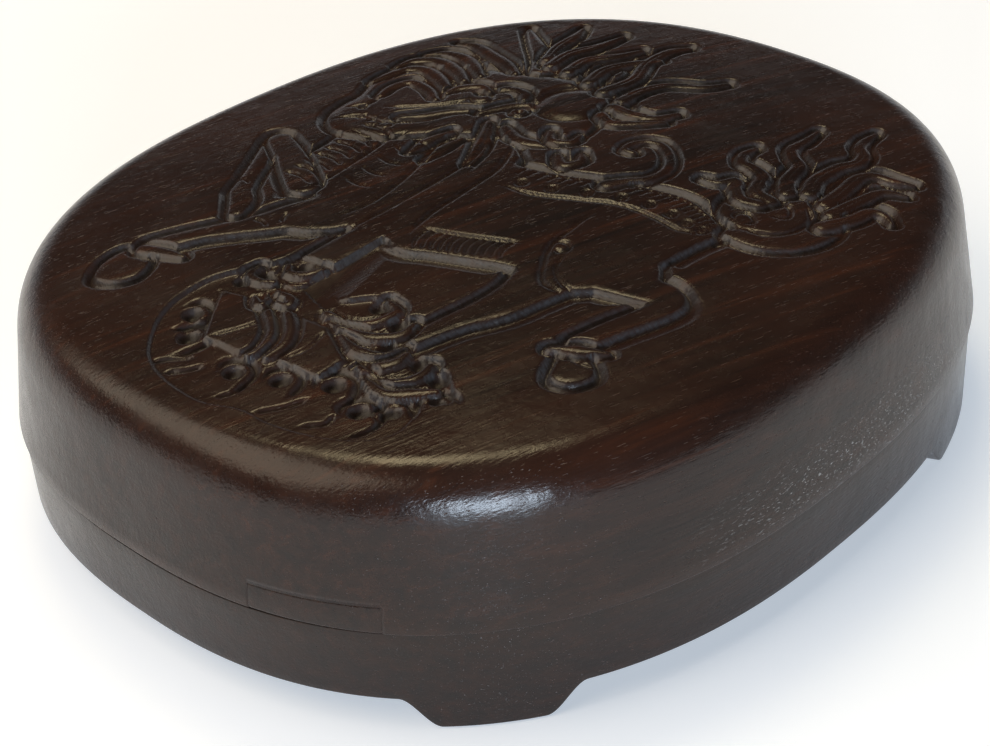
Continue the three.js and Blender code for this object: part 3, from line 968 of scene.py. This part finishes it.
def wood(name, dark, red, sheen_rough=0.23, pore_share=0.5, grain_turn=15):
    """Dense, nearly black hardwood with fine grain, short pores and a hand-rubbed wax shine."""
    n = Nodes(name)
    along = n.place(scale=(0.02, 0.5, 0.5), turn=grain_turn)
    fine = n.place(scale=(0.12, 2.2, 2.2), turn=grain_turn)
    broad_grain = n.noise(along, 1.0, detail=5, distortion=0.6)
    fine_grain = n.noise(fine, 1.0, detail=3, roughness=0.6)
    clouds = n.noise(n.place(), 0.03, detail=3)
    colour = n.mix(n.ramp(broad_grain, 0.35, 0.7), dark, red)
    colour = n.mix(n.ramp(fine_grain, 0.45, 0.75, 0, 0.55), colour, tuple(c * 0.45 for c in dark))
    height = n.add("ShaderNodeSeparateXYZ", Vector=n.place()).outputs["Z"]
    top_share = n.ramp(height, 26, 40, 0.15, 1)
    cloudy = n.maths("MULTIPLY", n.ramp(clouds, 0.4, 0.75, 0, 0.5), top_share)
    colour = n.mix(cloudy, colour, tuple(c * 1.35 for c in red))
    streaky = n.maths("MULTIPLY", n.ramp(broad_grain, 0.58, 0.78, 0, 0.7), top_share)
    colour = n.mix(streaky, colour, tuple(c * m for c, m in zip(red, (2.1, 1.6, 1.1))))
    pores = n.noise(n.place(scale=(0.45, 5.0, 5.0), turn=grain_turn), 1.0, detail=1)
    pore = n.ramp(pores, 0.69, 0.77)
    colour = n.mix(n.maths("MULTIPLY", pore, pore_share), colour, (0.075, 0.038, 0.024))
    recess = n.mark("recess")
    # Painted reflection: the steep walls of the carving are coloured a pale blue-grey, broken into streaks by
    # noise.
    reflection_streaks = n.ramp(n.noise(n.place(scale=(0.6, 2.5, 1), turn=grain_turn + 60), 1.0), 0.35, 0.65,
        0.35, 0.9)
    colour = n.mix(n.maths("MULTIPLY", n.mark("cut"), reflection_streaks), colour, (0.056, 0.058, 0.064))
    # Painted shade: the deepest parts of the carving are coloured nearly black.
    colour = n.mix(n.ramp(recess, 0.6, 0.95, 0, 0.85), colour, (0.003, 0.0025, 0.0025))
    worn = n.maths("MULTIPLY", n.mark("worn"), n.ramp(fine_grain, 0.4, 0.7, 0.15, 0.6))
    colour = n.mix(worn, colour, tuple(c * 1.8 for c in red))
    # Painted highlights: pale sparkle flecks in the pores of the lower wall on one side.
    glint_flecks = n.noise(n.place(scale=(0.8, 4.0, 4.0), turn=grain_turn), 1.0, detail=2)
    glint_flecks = n.maths("MULTIPLY", n.ramp(glint_flecks, 0.6, 0.68), n.mark("pore_glint"))
    colour = n.mix(glint_flecks, colour, (0.22, 0.21, 0.2))
    n.put(n.shader.inputs["Base Color"], colour)
    rub = n.noise(n.place(), 0.09, detail=5, roughness=0.65)
    rough = n.maths("ADD", n.ramp(rub, 0.3, 0.75, sheen_rough - 0.05, sheen_rough + 0.1),
                    n.ramp(recess, 0.6, 0.95, 0, 0.3))
    rough = n.maths("ADD", rough, n.maths("MULTIPLY", pore, 0.2))
    n.put(n.shader.inputs["Roughness"], rough)
    n.shader.inputs["IOR"].default_value = 1.5
    n.shader.inputs["Specular IOR Level"].default_value = 0.4
    ripples = n.noise(n.place(), 0.22, detail=4, roughness=0.6)
    surface = n.bump(ripples, 0.00025, 0.5)
    surface = n.bump(fine_grain, 0.0001, 0.5, surface)
    surface = n.bump(n.maths("SUBTRACT", 1.0, pore), 0.0001, 0.4, surface)
    n.put(n.shader.inputs["Normal"], surface)
    return n.material


def slate(name):
    """Fine purplish-black stone with faint clouds and a few pale flecks."""
    n = Nodes(name)
    clouds = n.noise(n.place(), 0.05, detail=6)
    colour = n.mix(n.ramp(clouds, 0.3, 0.7), (0.018, 0.016, 0.02), (0.045, 0.04, 0.047))
    flecks = n.noise(n.place(), 0.9, detail=2)
    colour = n.mix(n.ramp(flecks, 0.7, 0.78, 0, 0.5), colour, (0.12, 0.115, 0.11))
    n.put(n.shader.inputs["Base Color"], colour)
    n.put(n.shader.inputs["Roughness"], n.ramp(clouds, 0.3, 0.7, 0.42, 0.6))
    grain = n.noise(n.place(), 2.5, detail=4)
    n.put(n.shader.inputs["Normal"], n.bump(grain, 0.0001, 0.5))
    return n.material


def dress(piece, material, body, slot, *nodes):
    piece.data.materials.clear()
    piece.data.materials.append(material)
    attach(piece, body)
    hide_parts(*nodes)


# ---------------------------------------------------------------- floor, light and camera

def make_floor():
    mesh = bpy.data.meshes.new("floor")
    half = 4.0
    mesh.from_pydata([(-half, -half, -0.0002), (half, -half, -0.0002), (half, half, -0.0002),
        (-half, half, -0.0002)],
                     [], [(0, 1, 2, 3)])
    floor = bpy.data.objects.new("floor", mesh)
    bpy.context.scene.collection.objects.link(floor)
    n = Nodes("pale_floor")
    mottle = n.ramp(n.noise(n.place(), 0.004, detail=2), 0.3, 0.7)
    n.put(n.shader.inputs["Base Color"], n.mix(mottle, (0.81, 0.81, 0.82), (0.83, 0.83, 0.84)))
    n.shader.inputs["Emission Strength"].default_value = 0.4
    n.shader.inputs["Roughness"].default_value = 0.9
    n.shader.inputs["Specular IOR Level"].default_value = 0.0
    n.shader.inputs["Emission Color"].default_value = (0.82, 0.9, 1, 1)
    mesh.materials.append(n.material)


def softbox(name, azimuth, elevation, distance, size, power, colour, reflected=True):
    """Area light aimed at the lid. Azimuth 0 is on the -Y side and 90 on +X."""
    light = bpy.data.lights.new(name, "AREA")
    light.shape = "RECTANGLE"
    light.size, light.size_y = size
    light.energy = power
    light.color = colour
    lamp = bpy.data.objects.new(name, light)
    a, e = math.radians(azimuth), math.radians(elevation)
    back = Vector((math.sin(a) * math.cos(e), -math.cos(a) * math.cos(e), math.sin(e)))
    lamp.location = Vector((0, 0, 0.03)) + back * distance
    lamp.rotation_mode = "QUATERNION"
    lamp.rotation_quaternion = (-back).to_track_quat("-Z", "Y")
    lamp.visible_glossy = reflected
    bpy.context.scene.collection.objects.link(lamp)


def make_room():
    """Dim world with a pale horizon behind the box, on the side away from the photograph's viewer."""
    world = bpy.data.worlds.new("dim_room")
    bpy.context.scene.world = world
    world.use_nodes = True
    n = Nodes("dim_room", world.node_tree)
    background = world.node_tree.nodes["Background"]
    background.inputs["Color"].default_value = (0.92, 0.96, 1.0, 1)
    direction = n.add("ShaderNodeTexCoord").outputs["Generated"]
    height = n.add("ShaderNodeSeparateXYZ", Vector=direction).outputs["Z"]
    fade = n.add("ShaderNodeMapRange", {"interpolation_type": "SMOOTHSTEP"}, Value=height,
                 From_Min=0.06, From_Max=0.22, To_Min=0.7, To_Max=0.03).outputs[0]
    behind = n.add("ShaderNodeVectorMath", {"operation": "DOT_PRODUCT"})
    n.put(behind.inputs[0], direction)
    n.put(behind.inputs[1], (-PHOTO_SIDE[0], -PHOTO_SIDE[1], 0))
    far_side = n.ramp(behind.outputs["Value"], 0.1, 0.7, 0.04, 1.0)
    n.put(background.inputs["Strength"], n.maths("MULTIPLY", fade, far_side))


def make_lights():
    """Soft lights placed where the photograph's reflections say they were."""
    softbox("overhead", 150, 80, 1.1, (0.9, 0.9), 3.4, (1.0, 0.98, 0.95), False)
    softbox("window", -36, 11.5, 0.9, (0.36, 0.15), 6.8, (0.7, 0.84, 1.0))
    softbox("left_window", -122, 47, 0.9, (1.1, 0.65), 5.2, (1.0, 0.85, 0.66))
    softbox("warm_lamp", 147, 66, 0.9, (0.3, 0.28), 1.9, (1.0, 0.83, 0.5))


def make_camera():
    """The photograph's view: azimuth -44, elevation 33.3, rolled a little, 356 mm from the lid's middle."""
    azimuth, elevation, roll = math.radians(-44.0), math.radians(33.32), math.radians(-3.62)
    back = Vector((math.sin(azimuth) * math.cos(elevation), -math.cos(azimuth) * math.cos(elevation),
                   math.sin(elevation)))
    right = Vector((math.cos(azimuth), math.sin(azimuth), 0))
    up = back.cross(right)
    x_axis = right * math.cos(roll) + up * math.sin(roll)
    y_axis = -right * math.sin(roll) + up * math.cos(roll)
    data = bpy.data.cameras.new("photo_camera")
    data.lens = 76.29
    data.sensor_width = 36
    data.shift_x = -15.6 / 990
    data.shift_y = 11.92 / 990
    data.clip_start, data.clip_end = 0.02, 20
    data.dof.use_dof = False
    camera = bpy.data.objects.new("photo_camera", data)
    target = Vector((-0.72, 0, 5.0)) * MM
    matrix = Matrix((x_axis, y_axis, back)).transposed().to_4x4()
    matrix.translation = target + back * 0.35635
    camera.matrix_world = matrix
    bpy.context.scene.collection.objects.link(camera)
    bpy.context.scene.camera = camera


def main():
    dark = (0.0105, 0.006, 0.0048)
    red = (0.026, 0.0105, 0.0066)
    dress(make_lid(), wood("lid_wood", dark, red), "lid", "box_wood", "lid")
    dress(make_base(), wood("base_wood", dark, tuple(c * 0.8 for c in red), grain_turn=8), "base",
        "box_wood", "base")
    dress(make_strip(), wood("strip_wood", dark, red, 0.24, grain_turn=5), "lid", "repair_wood",
        "lid_rim_repair")
    dress(make_inkstone(), slate("ink_stone"), "inkstone", "ink_slate", "inkstone")
    make_floor()
    make_room()
    make_lights()
    make_camera()
    bpy.context.scene.view_settings.view_transform = "Standard"


main()
